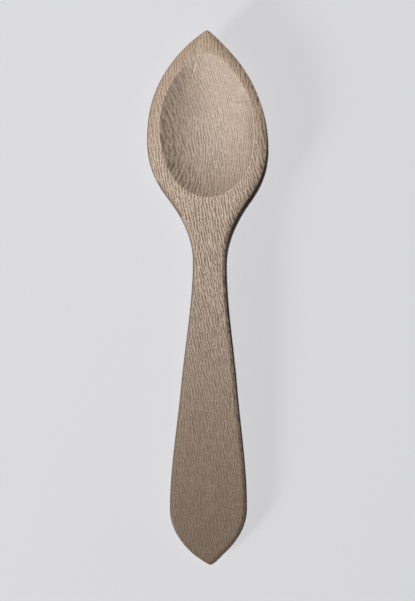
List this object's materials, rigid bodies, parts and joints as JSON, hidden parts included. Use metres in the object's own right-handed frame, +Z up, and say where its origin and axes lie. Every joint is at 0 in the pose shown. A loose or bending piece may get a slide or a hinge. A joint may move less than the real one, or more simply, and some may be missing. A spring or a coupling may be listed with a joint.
{
  "type": "carved wooden spoon",
  "caption": "Carved wooden spoon with a pointed bowl, an egg-shaped hollow, a narrow neck and a leaf-shaped handle.",
  "frame": {"origin": "centre of the bounding box's bottom face, on the surface that the spoon lies on", "axes": "+Y along the spoon towards the bowl's point, +Z up out of the hollow, +X to the right when looking down with the bowl's point away from the viewer"},
  "size_m": [0.0558, 0.25, 0.0128],
  "materials": {
    "beech": "sanded and unvarnished, matt"
  },
  "bodies": {
    "root": {"spoon": "beech"}
  },
  "joints": []
}
